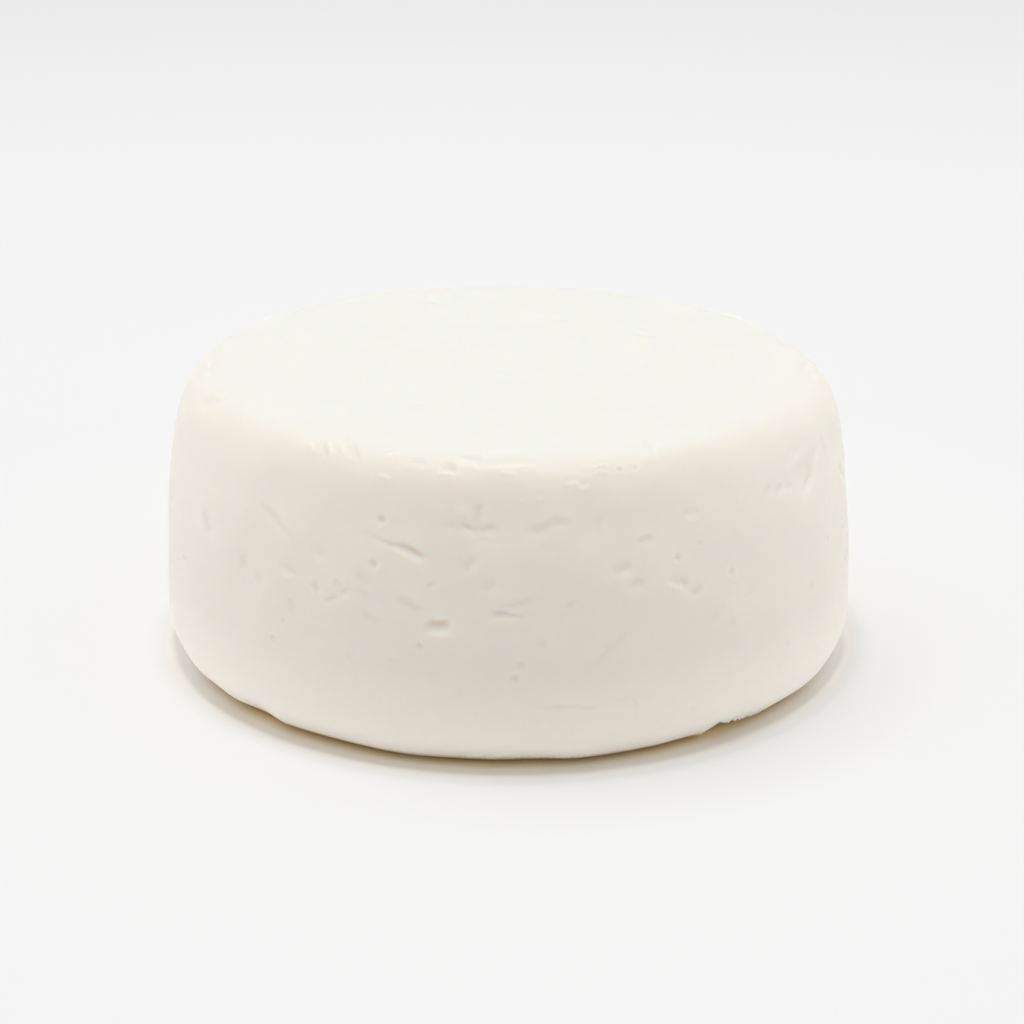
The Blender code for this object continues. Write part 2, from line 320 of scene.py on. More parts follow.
# A mark is a kind, the places where it starts and ends, a width, a depth, a bow and a skew.
# On the side a place is an azimuth and a height, and on the crown it is an azimuth and a distance
# from the axis. The bow bends the mark's line, and the width and depth are those of its hollow, or
# of its ridge for a fold. With a skew above 0 it is wider and deeper towards its end, and with one
# below 0 towards its start.
FRONT_MARKS = (
    # The long cut, with its faint tail, and the open pocket under it
    ("cut", (-19.8, 22.6), (-12.5, 21.7), 0.45, 0.26, 0.22, 0.75),
    ("groove", (-23.6, 23.1), (-18.6, 22.5), 0.38, 0.06, 0.12),
    ("pocket", (-12.5, 15.0), (-8.6, 15.6), 0.52, 0.37, 0.05, 0.25),
    # The short cut with the ridge over it
    ("cut", (-2.3, 16.6), (2.4, 16.2), 0.38, 0.2, 0.05, -0.7),
    ("groove", (-1.2, 17.0), (4.3, 17.7), 0.42, 0.11, 0.18),
    ("dent", (1.5, 16.4), (4.3, 16.3), 0.36, 0.05),
    # The low slit and the hook beside it
    ("cut", (4.7, 7.15), (13.8, 6.6), 0.32, 0.11, 0.14),
    ("cut", (16.2, 7.2), (19.5, 5.7), 0.42, 0.12, 0.75),
    ("dent", (18.6, 7.9), (21.2, 7.2), 0.6, 0.05),
    # The star-shaped dent under the shoulder
    ("fold", (-8.3, 25.6), (-5.1, 26.0), 0.5, 0.07),
    ("cut", (-7.0, 24.75), (-4.4, 24.15), 0.42, 0.14, -0.08),
    ("cut", (-4.6, 24.15), (-3.1, 24.65), 0.42, 0.11, -0.06),
    ("cut", (-3.3, 24.65), (-1.3, 24.35), 0.42, 0.11, 0.06),
    ("groove", (-4.3, 26.6), (-4.6, 24.3), 0.5, 0.13),
    ("dent", (-10.8, 24.6), (-7.6, 24.4), 0.5, 0.06),
    ("dent", (-5.4, 23.5), (-1.2, 23.2), 0.5, 0.05),
    ("groove", (2.9, 24.2), (6.4, 24.4), 0.5, 0.11, -0.15),
    ("groove", (5.8, 24.5), (9.7, 24.8), 0.48, 0.1, 0.2),
    ("dent", (13.2, 23.4), (14.4, 25.2), 0.5, 0.08),
    ("dent", (4.2, 22.6), (9.0, 22.2), 0.6, 0.05),
    ("fold", (1.7, 26.85), (3.0, 26.95), 0.3, 0.04),
    ("fold", (4.4, 26.9), (5.7, 27.0), 0.3, 0.04),
    # Dents over the middle of the front
    ("dent", (-6.5, 20.2), (-5.1, 21.8), 0.48, 0.12),
    ("dent", (-3.3, 18.2), (-2.3, 19.7), 0.48, 0.11),
    ("groove", (-16.8, 17.4), (-12.6, 16.4), 0.5, 0.14),
    ("groove", (-22.2, 15.4), (-19.0, 14.9), 0.42, 0.12, 0.05),
    ("dent", (-23.6, 19.1), (-21.0, 18.1), 0.65, 0.12),
    ("dent", (-23.4, 17.8), (-21.2, 16.8), 0.5, 0.1),
    # Dents over the left
    ("dent", (-58.0, 20.3), (-54.9, 18.2), 0.72, 0.2),
    ("groove", (-43.0, 23.6), (-35.1, 20.8), 0.46, 0.1, 0.3),
    ("dent", (-31.6, 20.7), (-28.4, 20.2), 0.5, 0.1),
    ("dent", (-37.8, 18.5), (-34.1, 17.9), 0.46, 0.13),
    ("dent", (-45.9, 18.1), (-45.1, 16.8), 0.46, 0.1),
    ("dent", (-42.9, 16.8), (-40.9, 15.7), 0.46, 0.12),
    ("dent", (-31.2, 17.4), (-29.6, 16.7), 0.48, 0.13),
    ("cut", (-28.9, 16.0), (-26.4, 16.7), 0.38, 0.13),
    ("dent", (-26.1, 17.1), (-24.6, 17.5), 0.42, 0.11),
    ("dent", (-35.2, 15.4), (-34.2, 13.9), 0.48, 0.1),
    # Dents over the right
    ("groove", (11.8, 10.4), (19.7, 14.9), 0.55, 0.11),
    ("dent", (15.6, 19.8), (18.9, 20.3), 0.56, 0.15, 0.1),
    ("dent", (17.9, 18.5), (20.9, 18.8), 0.48, 0.13, -0.05),
    ("groove", (19.8, 22.1), (22.6, 22.7), 0.44, 0.12, 0.1),
    ("dent", (24.8, 18.4), (26.6, 18.0), 0.38, 0.11, 0.1),
    ("dent", (26.2, 18.3), (28.2, 17.5), 0.44, 0.14, 0.05),
    ("dent", (28.7, 16.4), (30.8, 17.2), 0.46, 0.16),
    ("dent", (38.2, 14.1), (41.9, 15.4), 0.52, 0.12),
    ("dent", (28.5, 24.2), (31.0, 24.3), 0.44, 0.09),
    ("dent", (64.0, 18.6), (66.0, 20.2), 0.48, 0.12),
    # Wrinkles under the right shoulder
    ("dent", (45.1, 24.0), (47.1, 24.5), 0.34, 0.09),
    ("dent", (47.9, 23.4), (50.2, 24.3), 0.42, 0.13),
    ("dent", (50.8, 23.4), (52.9, 23.9), 0.34, 0.09),
    ("fold", (51.5, 25.2), (60.5, 25.9), 0.5, 0.1, 0.2),
    ("dent", (55.4, 22.3), (60.4, 23.6), 0.56, 0.2, 0.15),
    ("fold", (59.0, 22.4), (64.5, 25.4), 0.5, 0.14, 0.25),
    ("dent", (66.2, 23.6), (67.2, 26.6), 0.52, 0.15),
)

# The pressed place at the left, and folds of slack skin where the crown turns into the front
SHOULDER_FOLDS = (
    ("dent", (-70.2, 32.2), (-64.5, 31.4), 0.85, 0.24),
    ("fold", (-36.3, 31.2), (-34.3, 32.5), 0.38, 0.12),
    ("dent", (-34.6, 30.5), (-31.3, 32.4), 0.36, 0.12),
    ("fold", (-33.3, 30.6), (-30.2, 32.4), 0.36, 0.12),
    ("dent", (-31.4, 29.3), (-27.1, 32.2), 0.36, 0.1),
    ("dent", (-29.0, 29.8), (-25.7, 32.1), 0.42, 0.15),
    ("fold", (-21.8, 33.0), (-19.1, 33.3), 0.28, 0.08, 0.1),
    ("fold", (-21.6, 31.4), (-19.1, 30.4), 0.4, 0.09),
    ("dent", (-17.3, 31.4), (-13.7, 31.6), 0.44, 0.13, 0.1),
    ("dent", (-11.2, 31.8), (-8.3, 31.9), 0.6, 0.17, 0.1),
    ("fold", (-11.3, 32.5), (-8.5, 32.6), 0.26, 0.09, 0.1),
    ("dent", (-8.0, 30.2), (-4.1, 31.1), 0.46, 0.17, 0.15),
    ("dent", (-4.1, 31.1), (4.9, 30.7), 0.6, 0.15, 0.15),
    ("fold", (-7.9, 31.5), (-4.0, 32.1), 0.42, 0.07, 0.1),
    ("fold", (-4.0, 31.9), (0.8, 31.9), 0.4, 0.04, 0.1),
    ("fold", (-0.9, 32.3), (1.2, 32.3), 0.24, 0.08),
    ("fold", (1.2, 31.8), (4.9, 31.4), 0.4, 0.04, 0.1),
    ("fold", (9.4, 33.25), (11.7, 33.15), 0.26, 0.1, 0.1),
    ("fold", (10.9, 33.45), (13.2, 33.35), 0.26, 0.09, -0.1),
    ("fold", (14.1, 32.1), (17.3, 32.0), 0.3, 0.11, 0.1),
    ("fold", (14.3, 32.5), (16.7, 32.6), 0.26, 0.09, 0.1),
    ("fold", (23.1, 32.1), (26.2, 30.8), 0.42, 0.1),
    ("fold", (24.7, 32.4), (29.1, 29.7), 0.4, 0.12),
    ("dent", (24.4, 30.2), (27.6, 28.4), 0.46, 0.08),
)

# Shallow strokes on the crown
CROWN_MARKS = (
    ("groove", (-155.2, 25.4), (-163.7, 21.4), 0.45, 0.09),
    ("groove", (169.7, 16.9), (152.6, 16.1), 0.45, 0.09, 0.2),
    ("groove", (131.5, 16.4), (116.5, 18.4), 0.45, 0.09, 0.1),
    ("groove", (-27.6, 5.1), (18.4, 4.0), 0.38, 0.05),
    ("dent", (-61.5, 20.4), (-59.0, 20.6), 0.48, 0.07),
    ("groove", (-33.2, 18.3), (-26.9, 17.1), 0.36, 0.05),
)

# Round pits: azimuth, height, radius and depth
PITS = (
    (-19.7, 24.5, 0.34, 0.17), (-20.6, 20.4, 0.36, 0.17), (-13.2, 13.0, 0.28, 0.16),
    (1.9, 11.4, 0.32, 0.17), (1.2, 10.1, 0.33, 0.19), (5.1, 13.5, 0.42, 0.11),
    (9.3, 17.1, 0.32, 0.12), (26.7, 20.4, 0.32, 0.14), (30.8, 21.3, 0.26, 0.12),
    (36.7, 17.7, 0.32, 0.17), (36.4, 12.8, 0.36, 0.11), (57.0, 12.4, 0.36, 0.12),
    (49.3, 8.0, 0.36, 0.1), (63.4, 16.1, 0.32, 0.11), (28.9, 4.9, 0.32, 0.1),
    (-36.6, 12.8, 0.28, 0.12), (-38.6, 10.8, 0.26, 0.12), (-24.1, 10.9, 0.42, 0.11),
    (-17.2, 11.2, 0.36, 0.08), (-7.1, 8.5, 0.32, 0.09), (-11.5, 18.9, 0.28, 0.11),
    (-26.5, 17.9, 0.32, 0.12), (18.9, 28.85, 0.24, 0.12), (21.5, 28.85, 0.24, 0.1),
    (-66.0, 3.0, 0.55, 0.16), (-50.2, 2.3, 0.5, 0.14), (-47.0, 1.8, 0.45, 0.16),
)

# The marks drawn at random: how often each kind comes, and its usual length, width and depth,
# where a pit's width is its radius
KINDS = {
    "pit": (0.40, 0.0, 0.30, 0.14),
    "dent": (0.42, 1.7, 0.46, 0.14),
    "groove": (0.10, 4.6, 0.42, 0.11),
    "cut": (0.08, 2.6, 0.38, 0.24),
}

# Where they lie on the side and may end, and where the folds lie on the crown
BACK_AZIMUTHS = (72.0, 298.0)
BACK_HEIGHTS = (3.5, 26.5)
BACK_ENDS = (2.6, 27.0)
BACK_RADIUS = 36.0
BACK_FOLD_AZIMUTHS = (70.0, 290.0)
BACK_FOLD_RADII = (30.4, 32.8)

# The spread of their size, tilt and bow, and the folds' half angle, slant and depth
SIZE_SPREAD = 0.35
TILT_SPREAD = 0.7
BOW_SPREAD = 0.08
FOLD_TURNS = (1.0, 3.4)
FOLD_SLANT = 0.5
FOLD_DEPTHS = (0.09, 0.15)

# The torn rim: the flap that ends at the tear, and the tear's lip as azimuths and heights. A band
# is the height at which something stands out most, and how far up and down it fades, and a span
# is the same for azimuths.
FLAP_START = 31.4
FLAP_TIP = 33.0
FLAP_END = 33.5
FLAP_BAND = (1.0, 0.9)
FLAP_PROUD = 0.14
TEAR_LIP = (
    (32.8, -0.4), (33.3, 0.7), (35.2, 2.2), (37.3, 1.5),
    (40.2, 1.32), (45.0, 0.95), (49.0, 0.45), (51.0, -0.4),
)
TEAR_START = TEAR_LIP[0][0]
TEAR_END = TEAR_LIP[-1][0]
TEAR_STEP = 0.24
TEAR_DEEP = 1.25
TEAR_RAGGED = 0.10
RAGGED = (FLAP_END + 2.5, FLAP_END + 4.5, TEAR_END - 6.0, TEAR_END - 1.0)
TEETH_PROUD = 0.14
TEETH_BAND = (1.2, 0.6)

# How far the rim stands out at an azimuth, for its long, shallow waves
RIM_WAVES = (
    (-51.0, 0.0), (-44.5, -0.28), (-42.0, -0.16), (-40.6, 0.06), (-38.0, 0.0),
    (-27.0, 0.11), (-21.0, 0.14), (-12.0, -0.04), (-4.5, -0.13), (1.3, -0.12),
    (4.0, 0.0), (9.4, 0.25), (18.0, 0.09), (22.0, 0.0),
)
WAVES_BAND = (1.0, 1.8)

# The rim past the tear is fuller, and at the front it is flecked
FULL_SPAN = (58.0, 13.0)
FULL_BAND = (2.2, 1.8)
FULL_PROUD = 0.36
FLECK_START = -9.0
FLECK_END = 14.0
FLECK_FADE = 2.0
FLECK_DEEP = 0.07
FLECK_BAND = (1.15, 0.45)

# Up to which height the relief fades to nothing at the flat foot
FOOT_FADE = 0.7

# How deep a mark is where the painted shade in its hollow begins, and where it is full
HOLLOW_SHADE_START = 0.20
HOLLOW_SHADE_FULL = 0.50

# Where the tints of the skin begin and where they are full, as shares of the drum's height: the
# shoulder's tone with its painted shade, the crown's, the painted light over the foot and the painted
# shade under the rim
SHOULDER_TONE_AND_SHADE = (0.76, 0.96)
CROWN_TINT = (0.96, 0.99)
FOOT_LIGHT_TINT = (0.34, 0.0)
UNDER_SHADE_TINT = (0.0445, 0.0115)

# Sizes of the skin's patches and grain in millimetres, and where the patches begin and are full
BLUSH_SIZE = 22.0
PATCH_SIZE = 7.0
MOTTLE_SIZE = 3.2
LUMP_SIZE = 1.7
GRAIN_SIZE = 0.55
BLUSH_RAMP = (0.42, 0.753)
MOTTLE_RAMP = (0.5, 1.5)
WET_RAMP = (0.45, 0.783)

# How strong the blush and the mottling are, how much paler the mottling is than the crown, and
# the share of the film on the dry patches, and what the wet ones add to it
BLUSH_SHARE = 0.6
MOTTLE_SHARE = 0.5
PALER = 1.03
DRY_FILM = 0.06
WET_FILM = 0.24

# Zones of the floor as shares of the drum's radius: where each painted glow, shade and light begins and
# where it is full
RIM_GLOW_END = (0.91, 0.96)
GLOW_END = (0.95, 1.04)
SHADE_ZONE = (1.34, 1.04)
LIGHT_LIFT_ZONE = (2.40, 1.50)
EDGE_LIGHT_ZONE = (1.02, 0.98)

# How strongly the floor's painted shade and painted light are laid there, and how far to the sides its
# painted light edge begins
SHADE_SHARE = 0.36
LIGHT_LIFT_SHARE = 0.11
EDGE_LIGHT_SHARE = 0.85
EDGE_LIGHT_SIDES = (0.58, 0.965)

# How far to the right, and how far to the front, a step to the front right goes
DIAGONAL = 0.71


def share_of(value, low, high):
    """Rises smoothly from 0 at low to 1 at high."""
    t = np.clip((value - low) / (high - low), 0.0, 1.0)
    return t * t * (3.0 - 2.0 * t)


def stretch(value, start, risen, falling, end):
    """1 between risen and falling, and 0 before start and after end."""
    return share_of(value, start, risen) * (1.0 - share_of(value, falling, end))


def ridge(value, middle=0.0, width=1.0):
    """A soft ridge that is 1 high at its middle and falls off over its width."""
    return np.exp(-(((value - middle) / width) ** 2))


def azimuths(points):
    """The azimuths of the points in degrees."""
    return np.degrees(np.arctan2(points[:, 0], -points[:, 1]))


def within(points, middle, reach):
    """The numbers of the points that lie less than the reach from the middle."""
    return np.flatnonzero(((points - middle) ** 2).sum(axis=1) < reach * reach)


class Form:
    """The drum's smooth form in millimetres, without its marks."""

    def __init__(self, sizes):
        self.radius = sizes.radius / MM
        self.height = sizes.height / MM
        self.belly = sizes.belly_share * self.radius
        self.foot = sizes.foot_share * self.radius
        self.square = sizes.shoulder_square
        self.front_square = sizes.front_square
        self.crown_round = sizes.crown_round
        self.foot_square = sizes.foot_square
        self.foot_round = sizes.foot_round
        self.lean = sizes.lean

    def upper(self, side, rise, square):
        """The outline above the belly, from its cosine and sine on the unit circle."""
        radius = self.radius * side ** (2.0 / square)
        return radius, self.belly + (self.height - self.belly) * rise ** (2.0 / self.crown_round)

    def lower(self, side, rise):
        """The outline between the belly and the foot."""
        radius = self.foot + (self.radius - self.foot) * side ** (2.0 / self.foot_square)
        return radius, self.belly * (1.0 - rise ** (2.0 / self.foot_round))

    def outline(self, count=6000):
        """The turned outline from the middle of the crown to the foot's rim, closely spaced."""
        shares = np.arange(1, count) / count
        side = shares ** (self.square / 2.0)
        upper = self.upper(side, np.sqrt(1.0 - side * side), self.square)
        turn = 0.5 * math.pi * np.arange(count) / count
        lower = self.lower(np.cos(turn), np.sin(turn))
        points = list(zip(*upper)) + list(zip(*lower))
        return [(0.0, self.height)] + points + [(self.foot, 0.0)]

    def wanted_step(self, radius, height):
        """The step that the outline takes at a radius and a height."""
        if height > SHOULDER_LOW:
            return CROWN_STEP if radius < SHOULDER_INNER else SHOULDER_STEP
        return SIDE_STEP if height > self.belly else FOOT_STEP

    def spaced_outline(self):
        """The outline's points, thinned to the step that each zone asks for."""
        dense = self.outline()
        kept = [dense[0]]
        for point in dense[1:-1]:
            if math.dist(point, kept[-1]) >= self.wanted_step(*point):
                kept.append(point)
        if math.dist(kept[-1], dense[-1]) < 0.5 * FOOT_STEP:
            kept.pop()
        kept.append(dense[-1])
        kept.extend((self.foot * share, 0.0) for share in FOOT_RINGS)
        return kept

    def square_at(self, azimuth):
        """The shoulder is rounder at the front, where the crown has slumped."""
        front = np.maximum(np.cos(azimuth), 0.0) ** 2
        return self.square + (self.front_square - self.square) * front

    def settled(self, points):
        """Where points of the turned drum lie on the true form, which slumps and leans."""
        x, y, height = points.T
        radius = np.hypot(x, y)
        azimuth = np.arctan2(x, -y)
        above = height > self.belly
        side = np.minimum(radius / self.radius, 1.0) ** (self.square / 2.0)
        rise = np.clip((height - self.belly) / (self.height - self.belly), 0.0, 1.0)
        rise = rise ** (self.crown_round / 2.0)
        whole = np.hypot(side, rise)
        upper = self.upper(side / whole, rise / whole, self.square_at(azimuth))
        reach = np.clip((radius - self.foot) / (self.radius - self.foot), 0.0, 1.0)
        side = reach ** (self.foot_square / 2.0)
        rise = np.clip(1.0 - height / self.belly, 1e-9, 1.0) ** (self.foot_round / 2.0)
        whole = np.hypot(side, rise)
        lower = self.lower(side / whole, rise / whole)
        standing = height > 0.0
        radius = np.where(above, upper[0], np.where(standing, lower[0], radius))
        height = np.where(above, upper[1], np.where(standing, lower[1], height))
        for lobes, size, phase in UNEVEN:
            radius = radius * (1.0 + size * np.sin(lobes * azimuth + phase))
        x, y = radius * np.sin(azimuth), -radius * np.cos(azimuth)
        return np.stack([x, y, height * (1.0 - self.lean * x / self.radius)], axis=1)

    def on_side(self, azimuth, height):
        """The place on the side at an azimuth in degrees and a height."""
        azimuth = math.radians(azimuth)
        if height > self.belly:
            rise = (height - self.belly) / (self.height - self.belly)
            radius = self.radius * (1.0 - rise**self.crown_round) ** (1.0 / self.square_at(azimuth))
        else:
            fall = (self.belly - height) / self.belly
            reach = (1.0 - fall**self.foot_round) ** (1.0 / self.foot_square)
            radius = self.foot + (self.radius - self.foot) * reach
        return np.array([radius * math.sin(azimuth), -radius * math.cos(azimuth), height])

    def on_crown(self, azimuth, radius):
        """The place on the crown at an azimuth in degrees and a distance from the axis."""
        azimuth = math.radians(azimuth)
        fall = (radius / self.radius) ** self.square_at(azimuth)
        height = self.belly + (self.height - self.belly) * (1.0 - fall) ** (1.0 / self.crown_round)
        return np.array([radius * math.sin(azimuth), -radius * math.cos(azimuth), height])


def unit(vector):
    return vector / np.linalg.norm(vector)


# The sections across the marks: places are shares of the width, and heights of the depth
def cut_shape(across):
    """A steep upper wall, a sloping lower one, and lips that are slightly raised."""
    wall = np.where(across > 0.0, across / 0.55, across)
    return 0.14 * ridge(np.abs(across), 1.8) - ridge(wall)


def pocket_shape(across):
    """A deep slot under an overhang, with a broad lower slope that catches the light."""
    wall = np.where(across > 0.0, across / 0.45, across / 1.25)
    lips = 0.34 * ridge(across, -2.6) + 0.08 * ridge(across, 1.2)
    return lips - np.exp(-np.abs(wall) ** 1.7)


def dent_shape(across):
    """A soft hollow whose lower rim is a little raised."""
    return 0.35 * ridge(across, -1.7) - ridge(across)


def groove_shape(across):
    """A narrow scratch with the skin pushed up on its upper side."""
    return 0.45 * ridge(across, 1.5) - ridge(across)


def fold_shape(across):
    """A raised crease with a hollow behind it."""
    return ridge(across) - 0.5 * ridge(across, 1.6)


SHAPES = {
    "cut": cut_shape,
    "pocket": pocket_shape,
    "dent": dent_shape,
    "groove": groove_shape,
    "fold": fold_shape,
}


class Track:
    """The line of one mark on the skin, and the relief that it gives the points near it."""

    REACH = 4.5
    UPWARD = 1.5

    def __init__(self, form, on_crown, kind, start, end, width, depth, bow=0.0, skew=0.0):
        place = form.on_crown if on_crown else form.on_side
        start, end = place(*start), place(*end)
        self.shape = SHAPES[kind]
        self.middle = (start + end) / 2.0
        self.half = np.linalg.norm(end - start) / 2.0
        self.along = unit(end - start)
        outward = unit(self.middle * (1.0, 1.0, 0.0))
        if on_crown:
            radius = np.linalg.norm(self.middle[:2])
            steep = (radius - SHOULDER_INNER) / (SHOULDER_STEEP - SHOULDER_INNER)
            outward = unit(outward * np.clip(steep, 0.0, 1.0) + (0.0, 0.0, self.UPWARD))
        self.across = unit(np.cross(outward, self.along))
        self.bow, self.width, self.depth, self.skew = bow, width, depth, skew
        self.reach = 1.5 * self.half + self.REACH * width + abs(bow)
        self.phase = 7.0 * self.middle[0] + 3.0 * self.middle[2]

    def measured(self, points):
        """Shares of the half length and of the width at which points lie from the line."""
        offset = points - self.middle
        along = offset @ self.along / self.half
        slope = 2.0 * self.bow * along / self.half
        wave = along * self.half
        wander = 0.14 * np.sin(2.3 * wave + self.phase) + 0.05 * np.sin(5.3 * wave - self.phase)
        across = offset @ self.across - self.bow * (1.0 - along * along) + self.width * wander
        return along, across / (self.width * np.hypot(1.0, slope))

    def relief(self, points):
        along, across = self.measured(points)
        growth = np.clip(1.0 + self.skew * along, 0.15, 2.0)
        taper = np.exp(-1.6 * np.minimum(np.abs(along), 3.0) ** 4)
        return self.depth * growth * taper * self.shape(across / np.sqrt(growth))

    def gap(self, points):
        """How far points lie outside the mark."""
        along, across = self.measured(points)
        beyond = np.maximum(np.abs(along) - 1.1, 0.0) * self.half
        beside = np.maximum(np.abs(across) - 2.0, 0.0) * self.width
        return np.hypot(beyond, beside)


class Pit:
    """A small round hollow with a faint rim."""

    REACH = 5.0
    RIM = 1.8
    half = 0.0

    def __init__(self, form, azimuth, height, radius, depth):
        self.middle = form.on_side(azimuth, height)
        self.width = radius
        self.depth = depth
        self.reach = self.REACH * radius

    def relief(self, points):
        distance = np.linalg.norm(points - self.middle, axis=1) / self.width
        return self.depth * (0.18 * ridge(distance, 1.9, 0.707) - ridge(distance))

    def gap(self, points):
        distance = np.linalg.norm(points - self.middle, axis=1)
        return np.maximum(distance - self.RIM * self.width, 0.0)


def scattered_marks(count, seed):
    """Marks for the sides and the back, drawn at random with the kinds and sizes of the front's."""
    draw = np.random.default_rng(seed)
    low, high = BACK_HEIGHTS
    chances = [row[0] for row in KINDS.values()]
    marks, folds, pits = [], [], []
    for _ in range(count):
        azimuth = draw.uniform(*BACK_AZIMUTHS)
        height = low + (high - low) * draw.beta(2.0, 1.7)
        kind = draw.choice(tuple(KINDS), p=chances)
        size = draw.lognormal(0.0, SIZE_SPREAD)
        length, width, depth = KINDS[kind][1:]
        length, width, depth = length * size, width * size**0.5, depth * size
        if kind == "pit":
            pits.append((azimuth, height, width, depth))
            continue
        tilt = draw.normal(0.0, TILT_SPREAD)
        turn = math.degrees(0.5 * length * math.cos(tilt) / BACK_RADIUS)
        climb = 0.5 * length * math.sin(tilt)
        start = (azimuth - turn, max(height - climb, BACK_ENDS[0]))
        end = (azimuth + turn, min(height + climb, BACK_ENDS[1]))
        bow = draw.normal(0.0, BOW_SPREAD) * length
        marks.append((kind, start, end, width, depth, bow))
    for _ in range(count // 5):
        azimuth, radius = draw.uniform(*BACK_FOLD_AZIMUTHS), draw.uniform(*BACK_FOLD_RADII)
        turn, slant = draw.uniform(*FOLD_TURNS), draw.normal(0.0, FOLD_SLANT)
        start, end = (azimuth - turn, radius - slant), (azimuth + turn, radius + slant)
        kind = draw.choice(("fold", "dent"))
        folds.append((kind, start, end, 0.42, draw.uniform(*FOLD_DEPTHS), 0.1))
    return tuple(marks), tuple(folds), tuple(pits)


def flap_relief(azimuth, height):
    """The flap of skin at the lower rim, which stands out more towards its tip."""
    proud = share_of(azimuth, FLAP_START, FLAP_TIP) ** 2
    proud = proud * (1.0 - share_of(azimuth, FLAP_TIP, FLAP_END))
    return FLAP_PROUD * proud * ridge(height, *FLAP_BAND)


def tear_relief(azimuth, height):
    """The tear beyond the flap, which runs under its ragged lip, and its small teeth."""
    ragged = stretch(azimuth, *RAGGED)
    waves = np.sin(2.9 * azimuth) * np.sin(1.3 * azimuth + 1.0) + 0.8 * np.sin(5.2 * azimuth)
    lip = np.interp(azimuth, *zip(*TEAR_LIP)) + TEAR_RAGGED * ragged * waves
    teeth = np.sin(5.0 * azimuth + np.sin(1.7 * azimuth))
    teeth = teeth * ragged * ridge(height, *TEETH_BAND)
    return TEETH_PROUD * teeth - TEAR_DEEP * share_of(lip - height, 0.0, TEAR_STEP)


def fleck_relief(azimuth, height):
    """The small flecks along the front of the rim."""
    ends = (FLECK_START, FLECK_START + FLECK_FADE, FLECK_END - FLECK_FADE, FLECK_END)
    flecks = np.sin(4.1 * azimuth + 1.0) * np.sin(2.3 * azimuth + 3.0 * height)
    flecks = flecks * stretch(azimuth, *ends)
    return FLECK_DEEP * flecks * ridge(height, *FLECK_BAND)


def rim_relief(azimuth, height):
    """How far the lower rim stands out, with its flap, its tear and its flecks."""
    waves = np.interp(azimuth, *zip(*RIM_WAVES)) * ridge(height, *WAVES_BAND)
    full = ridge(azimuth, *FULL_SPAN) * ridge(height, *FULL_BAND)
    torn = flap_relief(azimuth, height) + tear_relief(azimuth, height)
    return waves + FULL_PROUD * full + torn + fleck_relief(azimuth, height)


def swell_relief(points, depth):
    """Broad, soft unevenness: waves that run in all directions, and calm down on the crown."""
    draw = np.random.default_rng(SWELL_SEED)
    total = np.zeros(len(points))
    for _ in range(SWELL_WAVES):
        heading = unit(draw.normal(size=3))
        length = draw.uniform(*SWELL_LENGTHS)
        total += np.sin(points @ heading * (2.0 * math.pi / length) + draw.uniform(0.0, 6.3))
    radius = np.hypot(points[:, 0], points[:, 1])
    calm = 1.0 - SWELL_CALM * (1.0 - share_of(radius, SHOULDER_INNER, CALM_END))
    return depth * calm * total / math.sqrt(SWELL_WAVES / 2.0)


class Skin:
    """All the marks of the drum."""

    def __init__(self, form, sizes):
        marks, folds, pits = scattered_marks(sizes.scattered, sizes.seed)
        self.marks = [Track(form, False, *mark) for mark in FRONT_MARKS + marks]
        crown_marks = SHOULDER_FOLDS + CROWN_MARKS + folds
        self.marks += [Track(form, True, *mark) for mark in crown_marks]
        self.marks += [Pit(form, *pit) for pit in PITS + pits]

    def wanted_edges(self, points):
        """The longest edge that the marks near each point allow."""
        wanted = np.full(len(points), 2.0 * CROWN_STEP)
        for mark in self.marks:
            near = within(points, mark.middle, MARK_REACH + mark.half)
            size = mark.width * MARK_FINENESS + MARK_SPREAD * mark.gap(points[near])
            wanted[near] = np.minimum(wanted[near], size)
        azimuth = azimuths(points)
        above = np.maximum(points[:, 2] - RIM_HEIGHT, 0.0)
        torn, flecked = (FINEST, TEAR_START, TEAR_END), (RIM_FINENESS, FLECK_START, TEAR_START)
        for finest, start, end in (flecked, torn):
            beside = np.maximum(np.maximum(start - azimuth, azimuth - end), 0.0)
            apart = np.hypot(RIM_DEGREE * beside, above)
            wanted = np.minimum(wanted, finest + MARK_SPREAD * apart)
        return np.maximum(wanted, FINEST)

    def marked(self, points):
        """The relief that the marks and the torn rim give the points."""
        total = rim_relief(azimuths(points), points[:, 2])
        for mark in self.marks:
            near = within(points, mark.middle, mark.reach)
            total[near] += mark.relief(points[near])
        return total * share_of(points[:, 2], 0.0, FOOT_FADE)


def placed(name, data):
    """A new object with its data, in the scene."""
    thing = bpy.data.objects.new(name, data)
    bpy.context.scene.collection.objects.link(thing)
    return thing


def turned_drum(form):
    """The plain drum's points in millimetres and its triangles: its outline turned by a Screw."""
    outline = form.spaced_outline()
    profile = bpy.data.meshes.new("drum_outline")
    edges = [(i, i + 1) for i in range(len(outline) - 1)]
    profile.from_pydata([(radius, 0.0, height) for radius, height in outline], edges, [])
    guide = placed("drum_outline", profile)
    turn = guide.modifiers.new("Turn", "SCREW")
    turn.axis = "Z"
    turn.angle = 2.0 * math.pi
    turn.steps = TURN_STEPS
    turn.use_merge_vertices = True
    turn.merge_threshold = AXIS_MERGE
    bpy.context.view_layer.update()
    graph = bpy.context.evaluated_depsgraph_get()
    mesh = guide.evaluated_get(graph).to_mesh()
    mesh.calc_loop_triangles()
    points = np.array([vertex.co for vertex in mesh.vertices])
    faces = np.array([triangle.vertices for triangle in mesh.loop_triangles])
    bpy.data.objects.remove(guide, do_unlink=True)
    bpy.data.meshes.remove(profile)
    return points, faces


